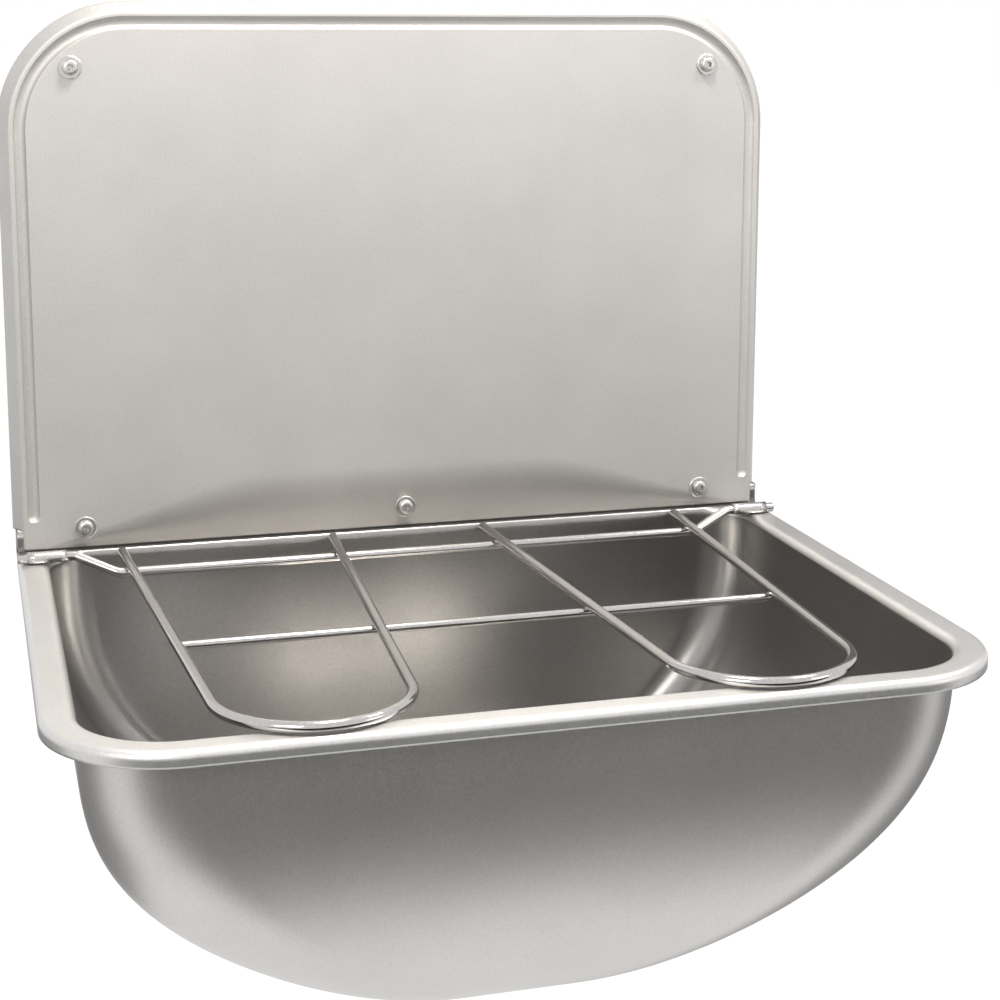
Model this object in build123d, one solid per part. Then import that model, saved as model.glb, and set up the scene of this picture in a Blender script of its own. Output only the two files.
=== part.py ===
"""Wall-hung stainless steel slop sink with a hinged wire bucket grate.

Frame: X to the right, Y into the wall, Z up, in millimetres.  The wall is the plane y = 0
and the origin is the centre of the four corner wall screws.
"""
import os
from math import acos, atan2, cos, hypot, pi, radians, sin

from build123d import *

# Wall fixing
SCREW_FROM_SIDE = 43.0
SCREW_SPACING_Z = 288.0
SCREW_HOLE_D = 6.0
SCREW_NECK_D = 4.2
SCREW_THREAD_D = 5.0
SCREW_THREAD_LENGTH = 38.0
SCREW_TIP_LENGTH = 6.0
SCREW_HEAD_D = 9.6
SCREW_HEAD_HEIGHT = 3.2
SCREW_HEAD_EDGE = 1.1
SCREW_FACE_D = 5.2
SCREW_SHOULDER_D = 8.6
SCREW_SHOULDER_DROP = 1.0
SCREW_RECESS_WIDTH = 1.3
SCREW_RECESS_SPAN = 4.6
SCREW_RECESS_DEPTH = 1.8
WASHER_D = 14.0
WASHER_BORE_D = 5.3
WASHER_THICKNESS = 1.0

# Splashback
PANEL_STANDOFF = 12.0
PANEL_SHEET = 1.0
PANEL_SIDE_INSET = 5.0
PANEL_TOP_ABOVE_SCREWS = 33.5
PANEL_CORNER_R = 73.0
FLANGE_FLARE = 6.5
PANEL_FOLD_R = 2.2
GROOVE_INSET = 6.5
GROOVE_R = 4.0
GROOVE_DEPTH = 2.5
GROOVE_END_ABOVE_SCREWS = 9.0
FLANGE_END_BELOW_SCREWS = 0.5
RETURN_GAP = 0.3
SHADOW_GAP = 1.3

# Bowl
SINK_WIDTH = 500.0
SINK_DEPTH = 378.0
RIM_BELOW_SCREWS = 13.5
BOWL_SHEET = 1.2
RIM_WIDTH = 18.5
RIM_EDGE_HEIGHT = 8.0
RIM_ROLL_R = 4.0
RIM_INNER_R = 5.0
RIM_CORNER_R = 65.0
BOWL_NECK = 8.0
BOWL_DEPTH = 213.0
BOWL_BACK_STANDOFF = 18.0
BOWL_BACK_CORNER_R = 28.0
BOWL_LOW_CORNER_SHARE = 0.78
BOWL_HEEL = 42.0
FLOOR_HALF_WIDTH = 60.0
FLOOR_LENGTH = 125.0
SIDE_FALL = 2.6
SIDE_SQUARENESS = 1.1
FRONT_FALL = 3.0
FRONT_SQUARENESS = 2.2
BACK_FALL = 9.0
BACK_SQUARENESS = 2.0
UPSTAND_ABOVE_SCREWS = 15.0
UPSTAND_SIDE_INSET = 16.0

# Waste outlet
OUTLET_FROM_WALL = 121.0
RECESS_TOP_R = 46.0
RECESS_FLOOR_R = 38.0
RECESS_DEPTH = 5.0
OUTLET_HOLE_R = 26.0
GASKET_UPPER_THICKNESS = 1.0
GASKET_LOWER_THICKNESS = 3.0
STRAINER_R = 35.0
STRAINER_SHEET = 1.5
STRAINER_DISH_R = 23.0
STRAINER_DISH_DEPTH = 4.0
STRAINER_HOLE_R = 2.4
STRAINER_RING_STEP = 8.0
STRAINER_RING_COUNT = 2
STRAINER_FIRST_RING_COUNT = 6
WASTE_FLANGE_R = 34.0
WASTE_FLANGE_THICKNESS = 3.0
WASTE_THREAD_R = 23.9
WASTE_BORE_R = 20.0
WASTE_TAIL_LENGTH = 40.0
WASTE_SPIDER_THICKNESS = 5.0
WASTE_SPIDER_RIB = 4.0
WASTE_BOSS_R = 6.0
WASTE_SCREW_R = 2.5
SCREW_PLAY = 0.2
WASTE_SCREW_HEAD_R = 5.0
WASTE_SCREW_HEAD_HEIGHT = 2.0
WASTE_SCREW_SLOT = 1.2

# Bucket grate
WIRE_D = 6.0
CROSS_WIRE_D = 5.0
HINGE_FROM_WALL = 40.0
HINGE_LIFT = 0.3
HINGE_RUNNING_CLEARANCE = 0.05
CLIP_LENGTH = 24.0
CLIP_SIDE_INSET = 5.5
CLIP_SHEET = 1.0
CLIP_FOOT = 7.0
CLIP_LIP_ANGLE = 40.0
JOGGLE_FROM_CLIP = 5.0
JOGGLE_LENGTH = 25.5
JOGGLE_R = 12.0
BAR_FROM_WALL = 50.0
LOOP_CENTRE_SHARE = 0.472
LOOP_REAR_SHARE = 0.27
LOOP_BEND_SHARE = 0.2
LOOP_REAR_FROM_WALL = 20.5
LOOP_REAR_BELOW_RIM = 1.5
GRATE_FRONT_INSET = 6.5
CROSS_BAR_FROM_WALL = 211.5
WELD_SINK = 0.3
WIRE_END_CHAMFER = 0.5

# Sizes, levels and planes worked out from the sizes above
HALF_WIDTH = SINK_WIDTH / 2
SCREW_X = HALF_WIDTH - SCREW_FROM_SIDE
PANEL_HALF_WIDTH = HALF_WIDTH - PANEL_SIDE_INSET
UPSTAND_HALF_WIDTH = HALF_WIDTH - UPSTAND_SIDE_INSET
CLIP_INNER_X = HALF_WIDTH - CLIP_SIDE_INSET - CLIP_LENGTH
JOGGLE_OUTER_X = CLIP_INNER_X - JOGGLE_FROM_CLIP
JOGGLE_INNER_X = JOGGLE_OUTER_X - JOGGLE_LENGTH
LOOP_CENTRE_X = LOOP_CENTRE_SHARE * HALF_WIDTH
LOOP_REAR_HALF_WIDTH = LOOP_REAR_SHARE * HALF_WIDTH
LOOP_BEND_R = LOOP_BEND_SHARE * HALF_WIDTH
LOW_SCREW_Z = -SCREW_SPACING_Z / 2
HIGH_SCREW_Z = SCREW_SPACING_Z / 2
RIM_Z = LOW_SCREW_Z - RIM_BELOW_SCREWS
NECK_Z = RIM_Z - BOWL_NECK
BOWL_BOTTOM_Z = RIM_Z - BOWL_DEPTH
FLOOR_Z = BOWL_BOTTOM_Z + BOWL_SHEET
PANEL_FACE_Y = -PANEL_STANDOFF
PANEL_BACK_Y = PANEL_FACE_Y + PANEL_SHEET
PANEL_TOP_Z = HIGH_SCREW_Z + PANEL_TOP_ABOVE_SCREWS
PANEL_BOTTOM_Z = RIM_Z + SHADOW_GAP
FLANGE_END_Z = LOW_SCREW_Z - FLANGE_END_BELOW_SCREWS
WIRE_R = WIRE_D / 2
HINGE_Y = -HINGE_FROM_WALL
HINGE_Z = RIM_Z + WIRE_R + HINGE_LIFT
OUTLET = (0.0, -OUTLET_FROM_WALL)
RECESS_FLOOR_Z = FLOOR_Z - RECESS_DEPTH


def plan_outline(half_width, back_y, front_y, back_r, front_r, z):
    """A level outline: a rectangle with its own corner radius at the back and at the front."""
    diagonal = sin(pi / 4)

    def corner(x_sign, y, y_sign, radius):
        centre_x = x_sign * (half_width - radius)
        centre_y = y - y_sign * radius
        along_x = (centre_x + x_sign * radius, centre_y, z)
        along_y = (centre_x, centre_y + y_sign * radius, z)
        middle = (centre_x + x_sign * radius * diagonal, centre_y + y_sign * radius * diagonal, z)
        return along_x, middle, along_y

    right_back = corner(1, back_y, 1, back_r)
    left_back = corner(-1, back_y, 1, back_r)
    left_front = corner(-1, front_y, -1, front_r)
    right_front = corner(1, front_y, -1, front_r)
    return Wire([
        ThreePointArc(*right_back),
        Line(right_back[2], left_back[2]),
        ThreePointArc(*reversed(left_back)),
        Line(left_back[0], left_front[0]),
        ThreePointArc(*left_front),
        Line(left_front[2], right_front[2]),
        ThreePointArc(*reversed(right_front)),
        Line(right_front[0], right_back[0]),
    ])


def bowl_outline(depth_share, inset):
    """The drawn bowl's outline at a share of its depth, for its outside or, inset, its inside."""
    half_width = HALF_WIDTH - RIM_WIDTH + BOWL_SHEET - inset
    back_y = -BOWL_BACK_STANDOFF + BOWL_SHEET - inset
    front_y = -(SINK_DEPTH - RIM_WIDTH) - BOWL_SHEET + inset
    floor_back_y = back_y - BOWL_HEEL
    floor_front_y = floor_back_y - FLOOR_LENGTH
    sides = (1 - depth_share ** SIDE_FALL) ** (1 / SIDE_SQUARENESS)
    front = (1 - depth_share ** FRONT_FALL) ** (1 / FRONT_SQUARENESS)
    back = (1 - depth_share ** BACK_FALL) ** (1 / BACK_SQUARENESS)
    wide = FLOOR_HALF_WIDTH + (half_width - FLOOR_HALF_WIDTH) * sides
    near = floor_front_y + (front_y - floor_front_y) * front
    far = floor_back_y + (back_y - floor_back_y) * back
    corner_r = RIM_CORNER_R - RIM_WIDTH + BOWL_SHEET
    low_corner_r = BOWL_LOW_CORNER_SHARE * (wide + inset)
    front_r = corner_r + (low_corner_r - corner_r) * depth_share ** 2 - inset
    back_r = BOWL_BACK_CORNER_R + BOWL_SHEET - inset
    bottom_z = BOWL_BOTTOM_Z + inset
    z = NECK_Z + (bottom_z - NECK_Z) * depth_share
    return plan_outline(wide, far, near, back_r, front_r, z)


def bowl_core(inset):
    """The bowl filled solid, from its neck to its floor."""
    steps = 11
    shares = [sin(pi / 2 * step / steps) for step in range(steps + 1)]
    drawn = Solid.make_loft([bowl_outline(share, inset) for share in shares])
    neck = extrude(make_face(bowl_outline(0, inset)), BOWL_NECK)
    return drawn + neck


def rim_outline(inset, back_y, z):
    """The sink's outer edge in plan at a level, square at the wall side."""
    half = HALF_WIDTH - inset
    front = -SINK_DEPTH + inset
    radius = RIM_CORNER_R - inset
    lay = Plane.XY.offset(z)
    outline = FilletPolyline(
        (-half, back_y), (-half, front), (half, front), (half, back_y), radius=radius)
    return lay * make_face(outline + Line((half, back_y), (-half, back_y)))


def ring(centre, outer_r, inner_r, low_z, high_z):
    """A flat ring about an upright axis."""
    height = high_z - low_z
    place = Location((centre[0], centre[1], (low_z + high_z) / 2))
    return place * (Cylinder(outer_r, height) - Cylinder(inner_r, height))


def turned(points, centre):
    """A solid turned about an upright axis from (radius, height) points."""
    profile = make_face(Polyline(*[(r, 0, z) for r, z in points], close=True))
    return Location((centre[0], centre[1], 0)) * revolve(profile, Axis.Z)


def wall_screw_places(rows):
    """The places (x, z) of the wall screws in the named rows."""
    places = []
    if "top" in rows:
        places += [(-SCREW_X, HIGH_SCREW_Z), (SCREW_X, HIGH_SCREW_Z)]
    if "bottom" in rows:
        places += [(-SCREW_X, LOW_SCREW_Z), (0.0, LOW_SCREW_Z), (SCREW_X, LOW_SCREW_Z)]
    return places


def across_wall(radius, from_y, to_y, place):
    """A round bar along Y at an (x, z) place."""
    length = to_y - from_y
    middle = (place[0], (from_y + to_y) / 2, place[1])
    return Location(middle, (90, 0, 0)) * Cylinder(radius, length)


def rim_cap(inset, back_y):
    """The rim's outside, or inset its inside, as a solid lid with a rounded top edge."""
    low_z = RIM_Z - RIM_EDGE_HEIGHT
    cap = extrude(rim_outline(inset, back_y, low_z), RIM_EDGE_HEIGHT - inset)
    top_edges = cap.edges().group_by(Axis.Z)[-1].sort_by(Axis.Y)[:-1]
    return fillet(top_edges, RIM_ROLL_R - inset)


def block(from_x, to_x, from_y, to_y, from_z, to_z):
    """A box between two corners."""
    middle = ((from_x + to_x) / 2, (from_y + to_y) / 2, (from_z + to_z) / 2)
    return Location(middle) * Box(to_x - from_x, to_y - from_y, to_z - from_z)


def upstand():
    """The sheet that rises behind the splashback, with a return to the wall at each side."""
    face_y = PANEL_BACK_Y
    back_y = face_y + BOWL_SHEET
    low_z = RIM_Z - BOWL_SHEET
    return_top_z = FLANGE_END_Z - RETURN_GAP
    inner_half = HALF_WIDTH - BOWL_SHEET
    tall = block(-UPSTAND_HALF_WIDTH, UPSTAND_HALF_WIDTH, face_y, back_y, low_z,
                 LOW_SCREW_Z + UPSTAND_ABOVE_SCREWS)
    low = block(-HALF_WIDTH, HALF_WIDTH, face_y, 0, low_z, return_top_z)
    low -= block(-inner_half, inner_half, back_y, 1, low_z - 1, return_top_z + 1)
    return tall + low


def outlet_recess():
    """The dished ring in the bowl's floor that takes the strainer's flange."""
    under = BOWL_SHEET
    return turned([
        (RECESS_TOP_R + under, FLOOR_Z),
        (RECESS_TOP_R, FLOOR_Z),
        (RECESS_FLOOR_R, RECESS_FLOOR_Z),
        (OUTLET_HOLE_R, RECESS_FLOOR_Z),
        (OUTLET_HOLE_R, RECESS_FLOOR_Z - under),
        (RECESS_FLOOR_R + under / 2, RECESS_FLOOR_Z - under),
        (RECESS_TOP_R + under / 2, FLOOR_Z - under),
        (RECESS_TOP_R + under, FLOOR_Z - under),
    ], OUTLET)


def bowl_shell():
    """Drawn bowl, flat rim with a rolled edge, and the upstand behind the splashback."""
    upstand_back_y = PANEL_BACK_Y + BOWL_SHEET
    rim = rim_cap(0, upstand_back_y) - rim_cap(BOWL_SHEET, upstand_back_y + BOWL_SHEET)
    shell = rim + bowl_core(0) - bowl_core(BOWL_SHEET)
    inside_x = HALF_WIDTH - RIM_WIDTH
    inside_y = -(SINK_DEPTH - RIM_WIDTH)
    mouth = [
        edge for edge in shell.edges().filter_by_position(Axis.Z, RIM_Z - 0.01, RIM_Z + 0.01)
        if abs(edge.center().X) < inside_x + 0.1
        and inside_y - 0.1 < edge.center().Y < -BOWL_BACK_STANDOFF + 0.1]
    shell = fillet(mouth, RIM_INNER_R)
    shell += upstand()
    shell -= ring(OUTLET, RECESS_TOP_R, 0, BOWL_BOTTOM_Z - 1, FLOOR_Z + 1)
    shell += outlet_recess()
    for place in wall_screw_places("bottom"):
        shell -= across_wall(SCREW_HOLE_D / 2, PANEL_FACE_Y - 1, 1, place)
    return shell


def panel_outline(y, inset, bottom_z):
    """The splashback's outline on an upright plane: it widens from its face back to the wall."""
    flare = FLANGE_FLARE * (y - PANEL_FACE_Y) / PANEL_STANDOFF
    half = PANEL_HALF_WIDTH + flare - inset
    top_z = PANEL_TOP_Z + flare - inset
    radius = PANEL_CORNER_R + flare - inset
    outline = FilletPolyline(
        (-half, bottom_z), (-half, top_z), (half, top_z), (half, bottom_z), radius=radius)
    return Plane.XZ.offset(-y) * make_face(outline + Line((half, bottom_z), (-half, bottom_z)))


def panel_block(inset):
    """The splashback's outside, or inset its inside, as a solid with a rounded front edge."""
    face_y = PANEL_FACE_Y + inset
    wall_y = inset
    bottom_z = PANEL_BOTTOM_Z - inset
    solid = loft([panel_outline(wall_y, inset, bottom_z), panel_outline(face_y, inset, bottom_z)])
    front_edges = solid.edges().group_by(Axis.Y)[0].sort_by(Axis.Z)[1:]
    return fillet(front_edges, PANEL_FOLD_R - inset)


def groove_rod(radius):
    """The round form that presses the splashback's groove, with ball ends."""
    half = PANEL_HALF_WIDTH - GROOVE_INSET
    top_z = PANEL_TOP_Z - GROOVE_INSET
    end_z = LOW_SCREW_Z + GROOVE_END_ABOVE_SCREWS
    axis_y = PANEL_FACE_Y + GROOVE_DEPTH - GROOVE_R
    outline = FilletPolyline(
        (-half, end_z), (-half, top_z), (half, top_z), (half, end_z),
        radius=PANEL_CORNER_R - GROOVE_INSET)
    path = Plane.XZ.offset(-axis_y) * outline
    start = Plane(origin=(-half, axis_y, end_z), z_dir=(0, 0, 1))
    rod = sweep(start * Circle(radius), path=path)
    for x in (-half, half):
        rod += Location((x, axis_y, end_z)) * Sphere(radius)
    return rod


def splashback_panel():
    """Pressed sheet with a groove round three sides and flanges back to the wall."""
    outside = panel_block(0) - groove_rod(GROOVE_R)
    inside = panel_block(PANEL_SHEET) - groove_rod(GROOVE_R + PANEL_SHEET)
    panel = outside - inside
    beyond = PANEL_HALF_WIDTH + FLANGE_FLARE + 1
    panel -= block(-beyond, beyond, PANEL_BACK_Y, 1, PANEL_BOTTOM_Z - 1, FLANGE_END_Z)
    for place in wall_screw_places("top bottom"):
        panel -= across_wall(SCREW_HOLE_D / 2, PANEL_FACE_Y - 1, 1, place)
    return panel


def wall_screw(place):
    """A pan head wood screw with a cross recess, its thread standing out behind the wall plane."""
    head_y = PANEL_FACE_Y - WASHER_THICKNESS
    top_y = head_y - SCREW_HEAD_HEIGHT
    head_r = SCREW_HEAD_D / 2
    neck_r = SCREW_NECK_D / 2
    thread_r = SCREW_THREAD_D / 2
    tip_y = SCREW_THREAD_LENGTH + SCREW_TIP_LENGTH
    outline = Polyline(
        (0, top_y), (SCREW_FACE_D / 2, top_y),
        (SCREW_SHOULDER_D / 2, top_y + SCREW_SHOULDER_DROP), (head_r, head_y - SCREW_HEAD_EDGE),
        (head_r, head_y), (neck_r, head_y), (neck_r, 0), (thread_r, 0),
        (thread_r, SCREW_THREAD_LENGTH), (0, tip_y), close=True)
    screw = revolve(make_face(outline), Axis.Y)
    slot_y = top_y + SCREW_RECESS_DEPTH
    half_span = SCREW_RECESS_SPAN / 2
    half_width = SCREW_RECESS_WIDTH / 2
    slot = block(-half_span, half_span, top_y - 1, slot_y, -half_width, half_width)
    cross = slot + Rot(0, 90, 0) * slot
    screw -= Rot(0, 45, 0) * cross
    return Location((place[0], 0, place[1])) * screw


def screw_washer(place):
    """A plain washer between a screw's head and the splashback."""
    back_y = PANEL_FACE_Y
    front_y = back_y - WASHER_THICKNESS
    disc = across_wall(WASHER_D / 2, front_y, back_y, place)
    return disc - across_wall(WASHER_BORE_D / 2, front_y - 1, back_y + 1, place)


def hinge_clip(side):
    """A bent strap over the end of the hinge wire, welded to the rim behind it."""
    inner_r = WIRE_R + HINGE_RUNNING_CLEARANCE
    outer_r = inner_r + CLIP_SHEET
    lip = radians(CLIP_LIP_ANGLE)
    rim_below = RIM_Z - HINGE_Z
    lip_direction = (-cos(lip), -sin(lip))

    def at(radius, direction):
        return (radius * direction[0], radius * direction[1])

    section = make_face(Wire([
        ThreePointArc(at(inner_r, lip_direction), (0, inner_r), (inner_r, 0)),
        Line((inner_r, 0), (inner_r, rim_below)),
        Line((inner_r, rim_below), (inner_r + CLIP_FOOT, rim_below)),
        Line((inner_r + CLIP_FOOT, rim_below), (inner_r + CLIP_FOOT, rim_below + CLIP_SHEET)),
        Line((inner_r + CLIP_FOOT, rim_below + CLIP_SHEET), (outer_r, rim_below + CLIP_SHEET)),
        Line((outer_r, rim_below + CLIP_SHEET), (outer_r, 0)),
        ThreePointArc((outer_r, 0), (0, outer_r), at(outer_r, lip_direction)),
        Line(at(outer_r, lip_direction), at(inner_r, lip_direction)),
    ]))
    from_x = CLIP_INNER_X if side > 0 else -CLIP_INNER_X - CLIP_LENGTH
    start = Plane(origin=(from_x, HINGE_Y, HINGE_Z), x_dir=(0, 1, 0), z_dir=(1, 0, 0))
    return extrude(start * section, CLIP_LENGTH)


def leg_slope():
    """How far a grate leg rises for each millimetre towards the front, and its rear height."""
    front_y = -SINK_DEPTH + GRATE_FRONT_INSET
    rear_y = -LOOP_REAR_FROM_WALL
    front_z = RIM_Z + HINGE_LIFT + WIRE_R
    rear_z = RIM_Z - LOOP_REAR_BELOW_RIM
    return (front_z - rear_z) / (rear_y - front_y), rear_z


def leg_height(y):
    """The height of the grate legs' centre line at a distance from the wall."""
    slope, rear_z = leg_slope()
    return rear_z + slope * (-LOOP_REAR_FROM_WALL - y)


def swept_wire(path, radius):
    """A round wire along a path, cut square and slightly chamfered at both ends."""
    start = Plane(origin=path @ 0, z_dir=path % 0)
    wire = sweep(start * Circle(radius), path=path)
    ends = wire.edges().filter_by(GeomType.CIRCLE)
    rims = [edge for edge in ends if abs(edge.radius - radius) < 0.001 and edge.is_closed]
    tips = [edge for edge in rims
            if (edge.arc_center - path @ 0).length < 0.01
            or (edge.arc_center - path @ 1).length < 0.01]
    return chamfer(tips, WIRE_END_CHAMFER)


def grate_loop(centre_x):
    """A long U of wire: two legs that close in slightly towards a round front bend."""
    slope, rear_z = leg_slope()
    lean = atan2(slope, 1)
    rear_y = -LOOP_REAR_FROM_WALL
    length = (SINK_DEPTH - GRATE_FRONT_INSET - LOOP_REAR_FROM_WALL) / cos(lean)
    bend_y = -(length - LOOP_BEND_R)
    reach = hypot(LOOP_REAR_HALF_WIDTH, bend_y)
    tangent = atan2(-bend_y, LOOP_REAR_HALF_WIDTH) - acos(LOOP_BEND_R / reach)
    touch_x = LOOP_BEND_R * cos(tangent)
    touch_y = bend_y + LOOP_BEND_R * sin(tangent)
    outline = Wire([
        Line((-LOOP_REAR_HALF_WIDTH, 0), (-touch_x, touch_y)),
        ThreePointArc((-touch_x, touch_y), (0, -length), (touch_x, touch_y)),
        Line((touch_x, touch_y), (LOOP_REAR_HALF_WIDTH, 0)),
    ])
    lie = Plane(origin=(centre_x, rear_y, rear_z), x_dir=(1, 0, 0), z_dir=(0, sin(lean), cos(lean)))
    return swept_wire(lie * outline, WIRE_R)


def grate_hinge_bar():
    """The rear wire: straight ends in the clips, joggled down to carry the loops."""
    bar_y = -BAR_FROM_WALL
    bar_z = leg_height(bar_y) - WIRE_D + WELD_SINK
    right = [
        (JOGGLE_INNER_X, bar_y, bar_z),
        (JOGGLE_OUTER_X, HINGE_Y, HINGE_Z),
        (HALF_WIDTH, HINGE_Y, HINGE_Z),
    ]
    left = [(-x, y, z) for x, y, z in reversed(right)]
    return swept_wire(FilletPolyline(*left, *right, radius=JOGGLE_R), WIRE_R)


def grate_cross_bar():
    """The thinner wire under the legs, half way to the front."""
    y = -CROSS_BAR_FROM_WALL
    radius = CROSS_WIRE_D / 2
    z = leg_height(y) - WIRE_R - radius + WELD_SINK
    share = (CROSS_BAR_FROM_WALL - LOOP_REAR_FROM_WALL) / (SINK_DEPTH - GRATE_FRONT_INSET
                                                           - LOOP_BEND_R - LOOP_REAR_FROM_WALL)
    half_gap = LOOP_REAR_HALF_WIDTH + (LOOP_BEND_R - LOOP_REAR_HALF_WIDTH) * share
    reach = LOOP_CENTRE_X + half_gap
    path = Wire([Edge.make_line((-reach, y, z), (reach, y, z))])
    return swept_wire(path, radius)


def waste_strainer():
    """Pressed strainer plate with a dished, drilled middle."""
    low = RECESS_FLOOR_Z + GASKET_UPPER_THICKNESS
    dish_low = low - STRAINER_DISH_DEPTH
    lip_r = STRAINER_DISH_R + STRAINER_DISH_DEPTH / 2
    plate = turned([
        (WASTE_SCREW_R + SCREW_PLAY, dish_low),
        (STRAINER_DISH_R, dish_low),
        (lip_r, low),
        (STRAINER_R, low),
        (STRAINER_R, low + STRAINER_SHEET / 2),
        (STRAINER_R - STRAINER_SHEET / 2, low + STRAINER_SHEET),
        (lip_r - STRAINER_SHEET / 2, low + STRAINER_SHEET),
        (STRAINER_DISH_R - STRAINER_SHEET / 2, dish_low + STRAINER_SHEET),
        (WASTE_SCREW_R + SCREW_PLAY, dish_low + STRAINER_SHEET),
    ], OUTLET)
    for ring_number in range(1, STRAINER_RING_COUNT + 1):
        ring_r = STRAINER_RING_STEP * ring_number
        count = STRAINER_FIRST_RING_COUNT * ring_number
        for step in range(count):
            turn = 2 * pi * step / count
            centre = (OUTLET[0] + ring_r * cos(turn), OUTLET[1] + ring_r * sin(turn))
            plate -= ring(centre, STRAINER_HOLE_R, 0, dish_low - 1, low + 1)
    return plate


def waste_body():
    """Outlet body: sealing flange, threaded tail, and a ribbed boss that takes the screw."""
    top = RECESS_FLOOR_Z - BOWL_SHEET - GASKET_LOWER_THICKNESS
    flange_low = top - WASTE_FLANGE_THICKNESS
    low = flange_low - WASTE_TAIL_LENGTH
    body = ring(OUTLET, WASTE_FLANGE_R, WASTE_BORE_R, flange_low, top)
    body += ring(OUTLET, WASTE_THREAD_R, WASTE_BORE_R, low, flange_low)
    spider_low = top - WASTE_SPIDER_THICKNESS
    boss = ring(OUTLET, WASTE_BOSS_R, 0, spider_low, top)
    reach = WASTE_BORE_R + (WASTE_THREAD_R - WASTE_BORE_R) / 2
    half = WASTE_SPIDER_RIB / 2
    rib = block(-reach, reach, -half, half, spider_low, top)
    for turn in (0, 60, 120):
        boss += Location((OUTLET[0], OUTLET[1], 0), (0, 0, turn)) * rib
    body += boss
    return body - ring(OUTLET, WASTE_SCREW_R, 0, spider_low - 1, top + 1)


def waste_centre_screw():
    """Slotted screw that draws the strainer and the body together."""
    seat = RECESS_FLOOR_Z + GASKET_UPPER_THICKNESS - STRAINER_DISH_DEPTH + STRAINER_SHEET
    low = RECESS_FLOOR_Z - BOWL_SHEET - GASKET_LOWER_THICKNESS - WASTE_SPIDER_THICKNESS
    top = seat + WASTE_SCREW_HEAD_HEIGHT
    screw = ring(OUTLET, WASTE_SCREW_HEAD_R, 0, seat, top)
    screw += ring(OUTLET, WASTE_SCREW_R, 0, low, seat)
    half_slot = WASTE_SCREW_SLOT / 2
    reach = WASTE_SCREW_HEAD_R + 1
    slot = block(-reach, reach, -half_slot, half_slot, top - WASTE_SCREW_HEAD_HEIGHT / 2, top + 1)
    return screw - Location((OUTLET[0], OUTLET[1], 0)) * slot


def gasket(low_z, thickness, outer_r):
    """A flat rubber ring round the outlet hole."""
    return ring(OUTLET, outer_r, OUTLET_HOLE_R, low_z, low_z + thickness)


def build_parts():
    """Every sub-part by its name."""
    left_loop = grate_loop(-LOOP_CENTRE_X)
    right_loop = grate_loop(LOOP_CENTRE_X)
    under_sheet_z = RECESS_FLOOR_Z - BOWL_SHEET
    return {
        "bowl_shell": bowl_shell(),
        "splashback_panel": splashback_panel(),
        "hinge_clip_left": hinge_clip(-1),
        "hinge_clip_right": hinge_clip(1),
        "grate_hinge_bar": grate_hinge_bar() - left_loop - right_loop,
        "grate_cross_bar": grate_cross_bar() - left_loop - right_loop,
        "grate_left_loop": left_loop,
        "grate_right_loop": right_loop,
        "top_wall_screws": Compound([wall_screw(place) for place in wall_screw_places("top")]),
        "bottom_wall_screws": Compound(
            [wall_screw(place) for place in wall_screw_places("bottom")]),
        "top_screw_washers": Compound(
            [screw_washer(place) for place in wall_screw_places("top")]),
        "bottom_screw_washers": Compound(
            [screw_washer(place) for place in wall_screw_places("bottom")]),
        "waste_strainer": waste_strainer(),
        "waste_upper_gasket": gasket(RECESS_FLOOR_Z, GASKET_UPPER_THICKNESS, STRAINER_R),
        "waste_lower_gasket": gasket(
            under_sheet_z - GASKET_LOWER_THICKNESS, GASKET_LOWER_THICKNESS, WASTE_FLANGE_R),
        "waste_body": waste_body(),
        "waste_centre_screw": waste_centre_screw(),
    }


os.makedirs("parts", exist_ok=True)
for name, solid in build_parts().items():
    export_step(solid, f"parts/{name}.step")
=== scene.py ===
"""Looks of a wall-hung slop sink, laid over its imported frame.

Laid out as an add-on: sizes and colours are in property groups, each piece or group of like
pieces has an operator, and main() calls them in order.  Metres, +Z up.  The wall is the plane
y = 0, and the origin is the centre of the four corner wall screws.
"""

import bmesh
import bpy
import numpy as np
from bpy.props import FloatProperty, FloatVectorProperty, IntProperty, PointerProperty
from mathutils import Matrix, Vector


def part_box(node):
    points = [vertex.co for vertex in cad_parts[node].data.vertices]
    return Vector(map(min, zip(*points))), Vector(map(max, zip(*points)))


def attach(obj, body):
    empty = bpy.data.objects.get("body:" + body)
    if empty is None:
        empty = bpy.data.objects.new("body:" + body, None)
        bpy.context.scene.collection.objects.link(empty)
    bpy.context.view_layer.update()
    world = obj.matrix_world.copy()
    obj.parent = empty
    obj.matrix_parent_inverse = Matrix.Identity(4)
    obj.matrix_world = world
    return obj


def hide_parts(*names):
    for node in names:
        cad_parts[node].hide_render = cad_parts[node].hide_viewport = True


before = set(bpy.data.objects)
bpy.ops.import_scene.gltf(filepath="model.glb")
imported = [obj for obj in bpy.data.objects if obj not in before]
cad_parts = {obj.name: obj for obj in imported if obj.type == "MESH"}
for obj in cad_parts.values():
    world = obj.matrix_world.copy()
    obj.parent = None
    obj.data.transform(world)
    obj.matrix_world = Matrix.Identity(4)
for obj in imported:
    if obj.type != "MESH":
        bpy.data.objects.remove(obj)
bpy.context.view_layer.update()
bowl_low, bowl_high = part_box("bowl_shell")
panel_low, panel_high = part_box("splashback_panel")
loop_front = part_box("grate_right_loop")[0].y
hinge_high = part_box("grate_hinge_bar")[1]
low_screws, high_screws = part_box("bottom_wall_screws"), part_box("top_wall_screws")
head_radius, wire_radius, hinge_lift = 0.0048, 0.003, 0.0003
screw_x = low_screws[1].x - head_radius
low_screw_z = low_screws[0].z + head_radius
high_screw_z = high_screws[1].z - head_radius
hinge_z = hinge_high.z - wire_radius
rim_z = hinge_z - wire_radius - hinge_lift
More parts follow.
